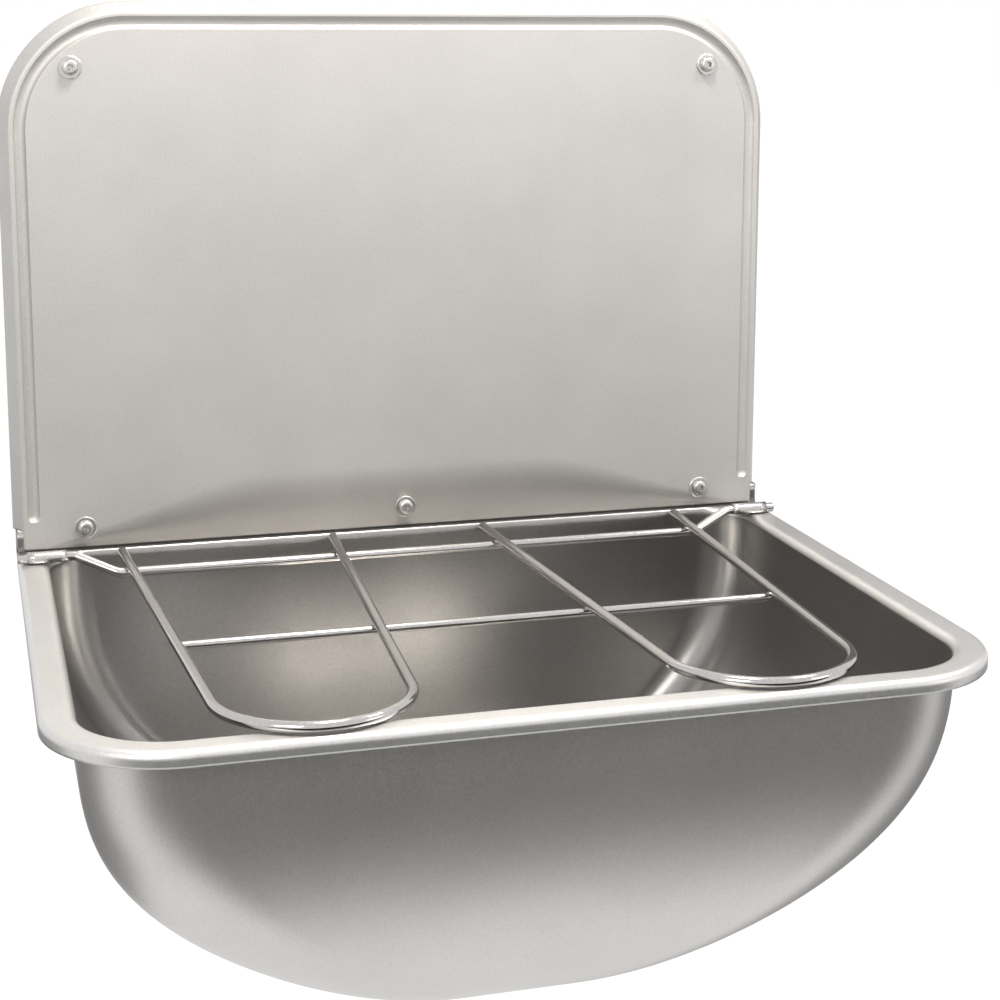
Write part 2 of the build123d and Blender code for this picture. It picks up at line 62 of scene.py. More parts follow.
# Radius and depth below the bowl's floor, from the recess's edge in to the outlet hole.
RECESS = ((0.0475, 0.0), (0.0455, 0.0006), (0.0385, 0.0046), (0.0370, 0.0050), (0.0262, 0.0050))
# Noise scales that draw streaks out along the wall, down the bowl and along a clip.
ALONG_WALL, DOWN_BOWL, ALONG_CLIP = (0.15, 1.0, 1.0), (1.0, 1.0, 0.15), (0.08, 1.0, 1.0)
EVEN, SHEET_GRAIN = (1.0, 1.0, 1.0), 1800.0

bl_info = {
    "name": "Slop sink",
    "version": (1, 0, 0),
    "blender": (4, 5, 0),
    "location": "3D View > Sidebar > Slop sink",
    "description": "Builds a wall-hung steel slop sink with its splashback and bucket grate",
    "category": "Object",
}


def length(name, description, default, low=0.0):
    """A length property in metres."""
    return FloatProperty(
        name=name, description=description, default=default, min=low, unit="LENGTH", precision=5)


def number(name, description, default, low=0.0):
    """A plain number."""
    return FloatProperty(name=name, description=description, default=default, min=low)


def factor(name, description, default):
    """A share from 0 to 1."""
    return FloatProperty(
        name=name, description=description, default=default, min=0.0, max=1.0, subtype="FACTOR")


def tint(name, description, default):
    """A colour property."""
    return FloatVectorProperty(
        name=name, description=description, default=default, subtype="COLOR", min=0.0, max=1.0)


class SINK_PG_sheet(bpy.types.PropertyGroup):
    """Sizes of the two pressed sheets."""

    rim_level: length("Rim level", "Height of the rim's flat top", rim_z, -2.0)
    half_width: length("Half width", "Half of the sink's width", bowl_high.x)
    depth: length("Depth", "From the wall to the rim's front", -bowl_low.y)
    rim_width: length("Rim width", "From the rolled edge to the wall of the bowl", 0.0185)
    rim_corner: length("Rim corner", "Outer corner radius of the rim in plan", 0.065)
    back_corner: length("Back corner", "Inner radius of the bowl's rear corners", 0.028)
    roll_radius: length("Edge roll", "Radius of the rim's rolled outer edge", 0.004)
    roll_drop: length("Edge height", "Height of the rim's rolled outer edge", 0.008)
    lip_radius: length("Inner lip", "Radius between the rim's flat top and the bowl", 0.005)
    bowl_depth: length("Bowl depth", "From the rim to the floor of the bowl", 0.2118)
    bowl_back: length("Bowl back", "From the wall to the bowl's rear, inside", 0.018)
    floor_half_width: length("Floor half width", "Half of the floor's width", 0.060)
    floor_back: length("Floor back", "From the wall to the floor's rear", 0.060)
    floor_front: length("Floor front", "From the wall to the floor's front", 0.185)
    outlet: length("Outlet", "From the wall to the middle of the outlet", 0.121)
    side_fall: number("Side fall", "How late the sides turn in", 2.6, 1.0)
    side_square: number("Side squareness", "How squarely the sides meet the floor", 1.1, 0.5)
    front_fall: number("Front fall", "How late the front turns in", 3.0, 1.0)
    front_square: number("Front squareness", "How squarely the front meets the floor", 2.2, 0.5)
    back_fall: number("Back fall", "How late the back turns in", 9.0, 1.0)
    back_square: number("Back squareness", "How squarely the back meets the floor", 2.0, 0.5)
    low_corner: factor(
        "Low corner", "Front corner radius at the floor, as a share of the half width there", 0.78)
    bowl_sheet: length("Bowl sheet", "Thickness of the bowl's sheet", 0.0012)
    upstand_half_width: length("Upstand half width", "Half of the upstand's width", 0.234)
    upstand_rise: length("Upstand rise", "From the lower screws to the upstand's top", 0.015)
    panel_sheet: length("Splashback sheet", "Thickness of the splashback's sheet", 0.001)
    panel_standoff: length("Standoff", "From the wall to the splashback's face", 0.012)
    panel_corner: length("Splashback corner", "Radius of its upper corners", 0.073)
    flare: length("Flange flare", "How much wider the flange is at the wall", 0.0065)
    fold_radius: length("Fold", "Radius between the face and the flange", 0.0022)
    groove_inset: length("Groove inset", "From the face's edge to the groove's middle", 0.0065)
    groove_radius: length("Groove radius", "Radius of the groove's section", 0.004)
    groove_depth: length("Groove depth", "Depth of the groove", 0.0025)
    groove_end: length("Groove end", "From the lower screws to the groove's end", 0.009)


class SINK_PG_grate(bpy.types.PropertyGroup):
    """Sizes of the wire grate and its clips."""

    wire_radius: length("Wire radius", "Radius of the loops and the hinge bar", wire_radius)
    cross_radius: length("Cross bar radius", "Radius of the thinner wire", 0.0025)
    loop_centre: length("Loop centre", "From the middle of the sink to a loop's middle", 0.118)
    loop_half_width: length("Loop half width", "Half of a loop's width at its rear", 0.0675)
    bend_radius: length("Front bend", "Radius of a loop's front bend", 0.050)
    rear_from_wall: length("Loop rear", "From the wall to the loops' rear ends", 0.0205)
    rear_below_rim: length("Loop rear drop", "From the rim down to those ends", 0.0015)
    hinge_from_wall: length("Hinge", "From the wall to the hinge's axis", 0.040)
    bar_from_wall: length("Bar", "From the wall to the joggled bar", 0.050)
    cross_from_wall: length("Cross bar", "From the wall to the thinner wire", 0.2115)
    joggle_outer: length("Joggle start", "From the middle to the joggle's outer bend", 0.2155)
    joggle_inner: length("Joggle end", "From the middle to the joggle's inner bend", 0.190)
    joggle_radius: length("Joggle bend", "Radius of the hinge bar's bends", 0.012)
    weld_sink: length("Weld sink", "How far crossing wires run into each other", 0.0003)
    bead: length("Weld bead", "Radius of the fused metal where wires cross", 0.0022)
    clip_radius: length("Clip radius", "Outer radius of a clip over the wire", 0.00405)
    clip_sheet: length("Clip sheet", "Thickness of a clip", 0.001)
    clip_reach: length("Clip reach", "From the hinge's axis to the foot's end", 0.01005)
    clip_drop: length("Clip drop", "From the hinge's axis down to the foot", 0.0023)
    clip_bend: length("Clip bend", "Radius between a clip's arch and its foot", 0.0012)


class SINK_PG_fixing(bpy.types.PropertyGroup):
    """Sizes of the wall screws and their washers."""

    head_radius: length("Head radius", "Radius of a screw's head", head_radius)
    head_height: length("Head height", "Height of a screw's head", 0.0032)
    recess_half_width: length("Recess", "Half of the cross recess's slot width", 0.0010)
    recess_reach: length("Recess reach", "From a head's middle to a slot's end", 0.0019)
    recess_depth: length("Recess depth", "Depth of the cross recess", 0.0024)
    shank_radius: length("Shank radius", "Radius of a screw's plain shank", 0.0021)
    thread_radius: length("Thread radius", "Radius over a screw's thread", 0.0025)
    thread_length: length("Thread length", "Length of thread behind the wall plane", 0.038)
    tip_length: length("Tip length", "Length of a screw's point", 0.006)
    thread_pitch: length("Thread pitch", "From crest to crest of a screw's thread", 0.0022)
    head_sides: IntProperty(
        name="Head sides", description="Sides of a screw's head", default=72, min=12)
    shank_sides: IntProperty(
        name="Shank sides", description="Sides of a screw's shank", default=20, min=8)
    washer_radius: length("Washer radius", "Outer radius of a washer", 0.0070)
    washer_bore: length("Washer bore", "Radius of a washer's hole", 0.00265)
    washer_height: length("Washer height", "Thickness of a washer", 0.001)
    washer_edge: length("Washer edge", "Rounding of a washer's front edge", 0.0004)
    washer_sides: IntProperty(
        name="Washer sides", description="Sides of a washer", default=48, min=12)


class SINK_PG_finish(bpy.types.PropertyGroup):
    """Colours and finish of the metal, rubber and plastic."""

    sheet_tint: tint("Sheet", "Colour of the satin sheet", (0.600, 0.590, 0.575))
    panel_tint: tint("Splashback", "Colour of the splashback", (0.560, 0.550, 0.537))
    # Painted highlight: the rim's top and rolled edge get this lighter copy of the sheet's colour,
    # standing in for the light the rim catches from above.
    rim_painted_highlight_tint: tint("Rim", "Colour of the rim's top", (0.680, 0.672, 0.664))
    # Painted shade: the bowl's inside gets this darker copy of the sheet's colour, standing in for
    # the shade and dark reflections within the bowl.
    bowl_painted_shade_tint: tint("Bowl inside", "Colour of the bowl's inside", (0.350, 0.344, 0.338))
    wire_tint: tint("Wire", "Colour of the polished wire", (0.540, 0.525, 0.516))
    fixing_tint: tint("Fixings", "Colour of the screws and washers", (0.60, 0.59, 0.57))
    rubber_tint: tint("Rubber", "Colour of the gaskets", (0.020, 0.020, 0.021))
    plastic_tint: tint("Plastic", "Colour of the waste body", (0.70, 0.70, 0.68))
    panel_roughness: factor("Splashback roughness", "How dull the splashback is", 0.60)
    sheet_roughness: factor("Sheet roughness", "How dull the satin sheet is", 0.42)
    bowl_roughness: factor("Bowl roughness", "How dull the bowl's inside is", 0.30)
    wire_roughness: factor("Wire roughness", "How dull the wire is", 0.13)


class SINK_PG_stage(bpy.types.PropertyGroup):
    """Floor, lamps and camera."""

    floor_level: length("Floor level", "Height of the floor", -0.95, -3.0)
    floor_tint: tint("Floor", "Colour of the floor", (0.90, 0.90, 0.90))
    floor_glow: number("Floor glow", "Strength of the floor's own light", 1.16)
    glow_share: factor(
        "Glow share", "Share of that light in the floor, in the picture and in reflections", 0.8)
    lens: number("Lens", "Focal length in millimetres", 69.75, 10.0)
    key_power: number("Key lamp", "Power of the main lamp in watts", 6.5)


class SINK_PG_settings(bpy.types.PropertyGroup):
    """All settings of the sink."""

    sheet: PointerProperty(type=SINK_PG_sheet)
    grate: PointerProperty(type=SINK_PG_grate)
    fixing: PointerProperty(type=SINK_PG_fixing)
    finish: PointerProperty(type=SINK_PG_finish)
    stage: PointerProperty(type=SINK_PG_stage)


def settings():
    """The settings kept on the scene."""
    return bpy.context.scene.slop_sink


def ease(value):
    """0 below 0, 1 above 1, and three squares less two cubes between."""
    value = np.clip(value, 0.0, 1.0)
    return value * value * (3.0 - 2.0 * value)


def grid_quads(rows, columns, wrap, flip):
    """Corners of a grid's quads, row by row; wrap joins the last column to the first."""
    index = np.arange(rows * columns).reshape(rows, columns)
    if wrap:
        index = np.concatenate([index, index[:, :1]], axis=1)
    quads = np.stack(
        [index[:-1, :-1], index[:-1, 1:], index[1:, 1:], index[1:, :-1]], axis=-1)
    quads = quads.reshape(-1, 4)
    return quads[:, ::-1] if flip else quads


def mesh_of(name, surfaces, sharp=40.0):
    """One mesh of several grids, each (points, wrap, flip), with its seams and poles merged."""
    points, quads, start = [], [], 0
    for grid, wrap, flip in surfaces:
        rows, columns = grid.shape[:2]
        points.append(grid.reshape(-1, 3))
        quads.append(grid_quads(rows, columns, wrap, flip) + start)
        start += rows * columns
    mesh = bpy.data.meshes.new(name)
    mesh.from_pydata(np.concatenate(points).tolist(), [], np.concatenate(quads).tolist())
    shape = bmesh.new()
    shape.from_mesh(mesh)
    bmesh.ops.remove_doubles(shape, verts=shape.verts, dist=1e-6)
    bmesh.ops.dissolve_degenerate(shape, edges=shape.edges, dist=1e-7)
    shape.to_mesh(mesh)
    shape.free()
    mesh.shade_smooth()
    mesh.set_sharp_from_angle(angle=np.radians(sharp))
    return mesh


def add_piece(name, mesh, materials, body, nodes, sheet=0.0):
    """Links a mesh as a piece that rides on a body and stands for its nodes."""
    piece = bpy.data.objects.new(name, mesh)
    bpy.context.scene.collection.objects.link(piece)
    for material in materials:
        mesh.materials.append(material)
    if sheet:
        wall = piece.modifiers.new("Sheet", "SOLIDIFY")
        wall.thickness = sheet
        wall.offset = -1.0
        wall.use_even_offset = True
        wall.use_quality_normals = True
        wall.material_offset = len(materials) - 1
    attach(piece, body)
    if nodes:
        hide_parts(*nodes)
    return piece


def finish_nodes(names, material):
    """Gives kept nodes a material."""
    for name in names:
        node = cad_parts.get(name)
        if node is None:
            raise RuntimeError(f"the frame has no node {name}")
        node.data.materials.clear()
        node.data.materials.append(material)


def rounded_plan(outlines, steps):
    """Rounded rectangles, one a row, of shape rows x columns x 2.

    An outline is half width, front, back, front radius, back radius.  Each corner is its
    centre plus its radius times (cos, sin) over a quarter turn, and even steps along the
    straight run lead to the next corner.
    """
    half, front, back, front_r, back_r = outlines.T
    turn = np.linspace(0.0, np.pi / 2, steps[0] + 1)
    arcs = []
    for quarter, (side, radius, edge, inward) in enumerate((
            (1, back_r, back, -1), (-1, back_r, back, -1),
            (-1, front_r, front, 1), (1, front_r, front, 1))):
        centre_x = side * (half - radius)
        centre_y = edge + inward * radius
        angle = turn + quarter * np.pi / 2
        arcs.append(np.stack([
            centre_x[:, None] + radius[:, None] * np.cos(angle),
            centre_y[:, None] + radius[:, None] * np.sin(angle)], axis=-1))
    loop = []
    for quarter, count in enumerate((steps[1], steps[2], steps[1], steps[2])):
        here, after = arcs[quarter], arcs[(quarter + 1) % 4]
        share = np.linspace(0.0, 1.0, count + 1)[1:-1, None]
        loop += [here, here[:, -1:] + (after[:, :1] - here[:, -1:]) * share]
    return np.concatenate(loop, axis=1)


def between(first, last, shares):
    """Outlines from first to last at the given shares of the way."""
    shares = np.asarray(shares)[:, None]
    return np.asarray(first) * (1 - shares) + np.asarray(last) * shares


def bowl_surface(sizes):
    """The sheet's upper skin, from the rolled edge over the rim and down to the outlet hole.

    Each row is a rounded rectangle.  On the rim and the floor its five sizes run evenly from
    one outline to the next; the rolled edge and the inner lip are quarter circles.  Down the
    wall, at a share s of the depth, the sides keep (1 - s^side_fall)^(1/side_square) of their
    reach beyond the floor, and the front and the back likewise with their own two.
    """
    rim, roll, lip = sizes.rim_level, sizes.roll_radius, sizes.lip_radius
    inner_r = sizes.rim_corner - sizes.rim_width
    rim_back = sizes.bowl_sheet + sizes.panel_sheet - sizes.panel_standoff
    outer = (sizes.half_width, -sizes.depth, rim_back, sizes.rim_corner, 0.0006)
    inner = (sizes.half_width - sizes.rim_width, sizes.rim_width - sizes.depth,
             -sizes.bowl_back, inner_r, sizes.back_corner)
    low_corner, sheet = sizes.low_corner, sizes.bowl_sheet
    floor_edge = (sizes.floor_half_width, -sizes.floor_front, -sizes.floor_back,
                  low_corner * (sizes.floor_half_width + sheet) - sheet, sizes.back_corner)
    drop_z = rim - sizes.roll_drop
    turn = np.linspace(0.0, np.pi / 2, 11)
    inset = np.concatenate([
        np.zeros(3), roll * (1 - np.cos(turn)),
        np.linspace(roll, sizes.rim_width - lip, 6)[1:-1],
        sizes.rim_width - lip + lip * np.sin(turn), [sizes.rim_width]])
    height = np.concatenate([
        np.linspace(drop_z, rim - roll, 4)[:-1], rim - roll + roll * np.sin(turn),
        np.full(4, rim), rim - lip + lip * np.cos(turn), [drop_z]])
    rows = [between(outer, inner, inset / sizes.rim_width)]
    heights = [height]
    share = np.sin(np.linspace(0.0, np.pi / 2, 61)[1:])
    reach = np.stack([
        (1 - share ** sizes.side_fall) ** (1 / sizes.side_square),
        (1 - share ** sizes.front_fall) ** (1 / sizes.front_square),
        (1 - share ** sizes.back_fall) ** (1 / sizes.back_square)], axis=-1)
    drawn = np.array(floor_edge[:3]) + (np.array(inner[:3]) - floor_edge[:3]) * reach
    low_r = low_corner * (drawn[:, 0] + sheet) - sheet
    front_r = inner_r + (low_r - inner_r) * share ** 2
    back_r = np.full(len(share), sizes.back_corner)
    rows.append(np.column_stack([drawn, front_r, back_r]))
    floor_z = rim - sizes.bowl_depth
    heights.append(drop_z + (floor_z - drop_z) * share)
    y = -sizes.outlet
    circles = [(r, y - r, y + r, r, r) for r, depth in RECESS]
    levels = [floor_z - depth for r, depth in RECESS]
    rows.append(between(floor_edge, circles[0], np.linspace(0.0, 1.0, 12)[1:]))
    heights.append(np.full(11, floor_z))
    for first, last, top, low in zip(circles, circles[1:], levels, levels[1:]):
        rows.append(between(first, last, (0.5, 1.0)))
        heights.append(np.array([(top + low) / 2, low]))
    plan = rounded_plan(np.concatenate(rows), (22, 60, 52))
    z = np.broadcast_to(np.concatenate(heights)[:, None], plan.shape[:2]).copy()
    edge = slice(0, 3 + len(turn))
    rear = ease((rim_back - 0.0007 - plan[edge, :, 1]) / 0.003)
    z[edge] = rim + (z[edge] - rim) * rear
    return np.concatenate([plan, z[..., None]], axis=-1)


def upright_band(path, low, high, steps):
    """A path in plan, carried straight up from low to high."""
    z = np.linspace(low, high, steps)
    grid = np.empty((steps, len(path), 3))
    grid[..., :2] = path
    grid[..., 2] = z[:, None]
    return grid


def rounded_run(points, radius, steps, run_steps=1):
    """Straight runs between points, each corner an arc of the given radius about a centre on
    its bisector, at radius / sin(half the turn left open)."""
    points = np.asarray(points, float)
    out = [points[:1]]
    for before, corner, after in zip(points, points[1:], points[2:]):
        back = (before - corner) / np.linalg.norm(before - corner)
        ahead = (after - corner) / np.linalg.norm(after - corner)
        half = np.arccos(np.clip(back @ ahead, -1, 1)) / 2
        centre_way = (back + ahead) / np.linalg.norm(back + ahead)
        centre = corner + centre_way * radius / np.sin(half)
        side = (ahead - back) / np.linalg.norm(ahead - back)
        sweep = np.linspace(-1, 1, steps)[:, None] * (np.pi / 2 - half)
        arc = centre - centre_way * radius * np.cos(sweep) + side * radius * np.sin(sweep)
        run = out[-1][-1] + (arc[0] - out[-1][-1]) * np.linspace(0, 1, run_steps + 1)[1:-1, None]
        out += [run, arc]
    run = out[-1][-1] + (points[-1] - out[-1][-1]) * np.linspace(0, 1, run_steps + 1)[1:, None]
    return np.concatenate(out + [run])


def panel_surface(sizes):
    """The splashback's front skin, as rows that follow its outline from the wall inwards.

    A row at an offset o from the face's outline runs up the left side, round a corner of
    radius corner + o, over the top and down.  The flange is a straight line out to the flare
    at the wall and the fold an arc.  The groove's depth at a distance d from its middle line
    is sqrt(radius^2 - d^2) less what stays above the face, softened at its lips, and past the
    groove's lower end d is measured to that end.  The last rows fill the flat face.
    """
    face_y, flare = -sizes.panel_standoff, sizes.flare
    slant = np.hypot(flare, sizes.panel_standoff)
    out_way = np.array([flare, sizes.panel_standoff]) / slant
    turn = np.arccos(out_way[0])
    trim = sizes.fold_radius * np.tan(turn / 2)
    start = out_way * trim
    wall = np.array([flare, sizes.panel_standoff])
    flange = wall + (start - wall) * np.linspace(0, 1, 8)[:-1, None]
    angle = np.linspace(turn, 0.0, 12)
    fold = np.stack([
        -trim + sizes.fold_radius * np.sin(angle),
        sizes.fold_radius * (1 - np.cos(angle))], axis=-1)
    inset, lip = sizes.groove_inset, sizes.groove_radius + 0.0006
    lips = np.concatenate([
        np.linspace(-trim, -inset + lip, 5)[1:-1], -inset + np.linspace(lip, -lip, 41),
        [-inset - 0.006]])
    flat = np.stack([lips, np.zeros(len(lips))], axis=-1)
    section = np.concatenate([flange, fold, flat])
    offset, back = section.T
    y = face_y + back
    corner_x = panel_high.x - flare - sizes.panel_corner
    corner_z = panel_high.z - flare - sizes.panel_corner
    radius = sizes.panel_corner + offset
    flange_end = low_screw_z - 0.0005
    end_z = np.where(y > face_y + sizes.panel_sheet, flange_end, panel_low.z)
    rise = np.concatenate([np.linspace(0, 0.13, 34)[:-1], np.linspace(0.13, 1, 16)])
    turn = np.linspace(np.pi, np.pi / 2, 32)
    up = np.stack([
        np.broadcast_to(-corner_x - radius[:, None], (len(y), len(rise))),
        end_z[:, None] + (corner_z - end_z[:, None]) * rise], axis=-1)
    bend = np.stack([
        -corner_x + radius[:, None] * np.cos(turn),
        corner_z + radius[:, None] * np.sin(turn)], axis=-1)[:, 1:]
    over = np.stack([
        np.broadcast_to(np.linspace(-corner_x, 0, 26), (len(y), 26)),
        np.broadcast_to((corner_z + radius)[:, None], (len(y), 26))], axis=-1)[:, 1:]
    left = np.concatenate([up, bend, over], axis=1)
    right = left[:, -2::-1] * (-1, 1)
    plan = np.concatenate([left, right], axis=1)
    end = np.array([-corner_x - sizes.panel_corner + inset, low_screw_z + sizes.groove_end])
    below = np.clip(end[1] - plan[..., 1], 0.0, None)
    distance = np.hypot(np.broadcast_to((offset + inset)[:, None], below.shape), below)
    round_part = np.sqrt(np.clip(sizes.groove_radius ** 2 - distance ** 2, 0.0, None))
    depth = round_part - (sizes.groove_radius - sizes.groove_depth)
    soft = 0.00016
    depth = soft * np.log1p(np.exp(depth / soft))
    grid = np.empty(plan.shape[:2] + (3,))
    grid[..., 0] = plan[..., 0]
    grid[..., 1] = y[:, None] + np.where(offset[:, None] < -0.0015, depth, 0.0)
    grid[..., 2] = plan[..., 1]
    rim = grid[-1]
    step = np.linalg.norm(np.diff(rim, axis=0), axis=1)
    share = np.concatenate([[0], np.cumsum(step)]) / step.sum()
    foot = np.stack([
        rim[0, 0] + (rim[-1, 0] - rim[0, 0]) * share, np.full(len(share), face_y),
        np.full(len(share), panel_low.z)], axis=-1)
    fill = rim + (foot - rim) * np.linspace(0, 1, 9)[1:, None, None]
    return np.concatenate([grid, fill])


def wire(path, radius, side, sides=24, chamfer=0.0005):
    """A round wire along a path that lies in a plane square to side: path plus radius times
    (cos a side + sin a across), with rows that close in to the path at both ends."""
    path = np.asarray(path, float)
    way = np.gradient(path, axis=0)
    way[0], way[-1] = path[1] - path[0], path[-1] - path[-2]
    way /= np.linalg.norm(way, axis=1, keepdims=True)
    path = np.concatenate([
        path[:1], path[:1], path[:1] + way[:1] * chamfer, path[1:-1],
        path[-1:] - way[-1:] * chamfer, path[-1:], path[-1:]])
    way = np.concatenate([way[:1], way[:1], way, way[-1:], way[-1:]])
    reach = np.full(len(path), radius)
    reach[[0, -1]] = 0.0
    reach[[1, -2]] = radius - chamfer
    across = np.cross(way, side)
    across /= np.linalg.norm(across, axis=1, keepdims=True)
    angle = np.linspace(0.0, 2 * np.pi, sides, endpoint=False)
    ring = np.cos(angle)[:, None] * np.asarray(side) + np.sin(angle)[:, None] * across[:, None]
    return path[:, None] + reach[:, None, None] * ring


def turned(radii, heights, centre, axis, sides):
    """A profile of radii and heights turned about an axis of the frame through centre.

    radii may be rows, or rows x sides where the section isn't round.
    """
    angle = np.linspace(0.0, 2 * np.pi, sides, endpoint=False)
    radii = np.asarray(radii, float)
    radii = radii if radii.ndim == 2 else np.broadcast_to(radii[:, None], (len(radii), sides))
    heights = np.asarray(heights, float)
    if heights.ndim == 1:
        heights = np.broadcast_to(heights[:, None], radii.shape)
    first, second = [i for i in range(3) if i != axis]
    grid = np.empty(radii.shape + (3,))
    grid[..., first] = centre[0] + radii * np.cos(angle)
    grid[..., second] = centre[1] + radii * np.sin(angle)
    grid[..., axis] = heights
    return grid


def add_node(tree, kind, inputs=None, **values):
    """A shader node with its settings, its inputs linked or set."""
    made = tree.nodes.new(kind)
    for key, value in values.items():
        setattr(made, key, value)
    for key, value in (inputs or {}).items():
        if isinstance(value, bpy.types.NodeSocket):
            tree.links.new(value, made.inputs[key])
        else:
            made.inputs[key].default_value = value
    return made


def new_material(name):
    """An empty node material and its tree."""
    material = bpy.data.materials.new(name)
    material.use_nodes = True
    material.node_tree.nodes.clear()
    return material, material.node_tree


def seen_rays(tree):
    """1 on the rays of the picture, of reflections and through glass, and 0 on the rest."""
    path = add_node(tree, "ShaderNodeLightPath")
    seen = path.outputs["Is Camera Ray"]
    for kind in ("Is Glossy Ray", "Is Transmission Ray"):
        seen = add_node(tree, "ShaderNodeMath", {
            0: seen, 1: path.outputs[kind]}, operation="MAXIMUM").outputs[0]
    return seen


def two_tones(tree, factor, colour, low, high):
    """The colour between its darker and its lighter tone, at low and high times itself."""
    mixed = add_node(tree, "ShaderNodeMix", {"Factor": factor}, data_type="RGBA")
    mixed.inputs[6].default_value = (*[c * low for c in colour], 1.0)
    mixed.inputs[7].default_value = (*[min(c * high, 1.0) for c in colour], 1.0)
    return mixed.outputs[2]


def steel(name, colour, roughness, brushed=EVEN, grain=900.0, cloud=7.0, depth=0.2):
    """Bare steel: brushed streaks and a fine tooth in the dullness and the bump, and faint
    clouds and the same tooth in the colour."""
    material, tree = new_material(name)
    place = add_node(tree, "ShaderNodeTexCoord").outputs["Object"]
    stretched = add_node(tree, "ShaderNodeMapping", {"Vector": place, "Scale": brushed})
    streaks = add_node(tree, "ShaderNodeTexNoise", {
        "Vector": stretched.outputs[0], "Scale": grain, "Detail": 3.0, "Roughness": 0.6})
    tooth = add_node(tree, "ShaderNodeTexNoise", {
        "Vector": place, "Scale": 750.0, "Detail": 2.0})
    clouds = add_node(tree, "ShaderNodeTexNoise", {
        "Vector": place, "Scale": cloud, "Detail": 4.0, "Roughness": 0.65})
    both = add_node(tree, "ShaderNodeMath", {
        0: streaks.outputs["Fac"], 1: tooth.outputs["Fac"]}, operation="ADD")
    dull = add_node(tree, "ShaderNodeMapRange", {
        "Value": both.outputs[0], "From Min": 0.6, "From Max": 1.4,
        "To Min": roughness - 0.03, "To Max": roughness + 0.03})
    mottle = add_node(tree, "ShaderNodeMath", {
        0: clouds.outputs["Fac"], 1: tooth.outputs["Fac"]}, operation="ADD")
    shade = add_node(tree, "ShaderNodeMapRange", {
        "Value": mottle.outputs[0], "From Min": 0.65, "From Max": 1.35,
        "To Min": 0.0, "To Max": 1.0})
    colours = two_tones(tree, shade.outputs[0], colour, 0.90, 1.09)
    bump = add_node(tree, "ShaderNodeBump", {
        "Height": both.outputs[0], "Strength": depth, "Distance": 0.00004})
    shader = add_node(tree, "ShaderNodeBsdfPrincipled", {
        "Base Color": colours, "Roughness": dull.outputs[0],
        "Normal": bump.outputs[0], "Metallic": 1.0})
    add_node(tree, "ShaderNodeOutputMaterial", {"Surface": shader.outputs[0]})
    return material


def moulded(name, colour, roughness, grain, depth):
    """Rubber or plastic: a fine grain in the bump and the dullness, and faint shade changes."""
    material, tree = new_material(name)
    place = add_node(tree, "ShaderNodeTexCoord").outputs["Object"]
    fine = add_node(tree, "ShaderNodeTexNoise", {
        "Vector": place, "Scale": grain, "Detail": 3.0})
    clouds = add_node(tree, "ShaderNodeTexNoise", {"Vector": place, "Scale": 30.0})
    colours = two_tones(tree, clouds.outputs["Fac"], colour, 0.9, 1.1)
    dull = add_node(tree, "ShaderNodeMapRange", {
        "Value": fine.outputs["Fac"], "To Min": roughness - 0.1, "To Max": roughness + 0.1})
    bump = add_node(tree, "ShaderNodeBump", {
        "Height": fine.outputs["Fac"], "Strength": depth, "Distance": 0.0001})
    shader = add_node(tree, "ShaderNodeBsdfPrincipled", {
        "Base Color": colours, "Roughness": dull.outputs[0],
        "Normal": bump.outputs[0]})
    add_node(tree, "ShaderNodeOutputMaterial", {"Surface": shader.outputs[0]})
    return material


class SINK_OT_bowl(bpy.types.Operator):
    """Drawn bowl with its rim, rolled edge, upstand and outlet recess."""

    bl_idname = "slop_sink.bowl"
    bl_label = "Bowl"

    def execute(self, context):
        sizes, finish = settings().sheet, settings().finish
        face_y = -sizes.panel_standoff + sizes.panel_sheet
        half = sizes.half_width
        low = rounded_run(
            [(-half, 0.0), (-half, face_y), (half, face_y), (half, 0.0)], 0.0015, 6, 8)
        tall = np.array([
            (-sizes.upstand_half_width, face_y), (sizes.upstand_half_width, face_y)])
        top_z = low_screw_z + sizes.upstand_rise
        mesh = mesh_of("bowl", [
            (bowl_surface(sizes), True, False),
            (upright_band(low, sizes.rim_level - sizes.bowl_sheet, low_screw_z - 0.0008, 4),
             False, False),
            (upright_band(tall, low_screw_z - 0.002, top_z, 3), False, False),
        ], 50.0)
        centres, normals = np.empty((2, len(mesh.polygons), 3))
        mesh.polygons.foreach_get("center", centres.ravel())
        mesh.polygons.foreach_get("normal", normals.ravel())
        outward = ((centres - (0.0, -sizes.depth / 2, 0.0)) * normals)[:, :2].sum(axis=1) > 0.0
        # Painted highlight: faces of the rim's flat top, inner lip and outer roll take the lighter
        # rim steel, the rest of the upper skin the darker inside steel.
        drop = sizes.rim_level - centres[:, 2]
        rim_highlight_faces = (drop < 0.8 * sizes.lip_radius) | outward & (drop < sizes.roll_drop + 0.0002)
        # Painted shade: the rim's narrow rear strip by the splashback stays on the darker inside
        # steel, standing in for its dark reflection.
        painted_shade_strip_y = -0.026
        rim_highlight_faces &= centres[:, 1] < painted_shade_strip_y
        mesh.polygons.foreach_set("material_index", rim_highlight_faces.astype(np.int32))
        # Painted shade: the inside steel is a darker copy of the sheet steel, standing in for the
        # shade within the bowl; the rim steel is a lighter copy, a painted highlight.
        inside = steel("bowl_inside_painted_shade_steel", finish.bowl_painted_shade_tint, finish.bowl_roughness,
                       DOWN_BOWL, 2200.0)
        rim = steel("rim_painted_highlight_steel", finish.rim_painted_highlight_tint, finish.sheet_roughness, ALONG_WALL, SHEET_GRAIN)
        outside = steel("bowl_outside_steel", finish.sheet_tint, finish.sheet_roughness,
                        ALONG_WALL, SHEET_GRAIN)
        add_piece("bowl", mesh, [inside, rim, outside], "sink", ["bowl_shell"],
                  sizes.bowl_sheet)
        return {"FINISHED"}


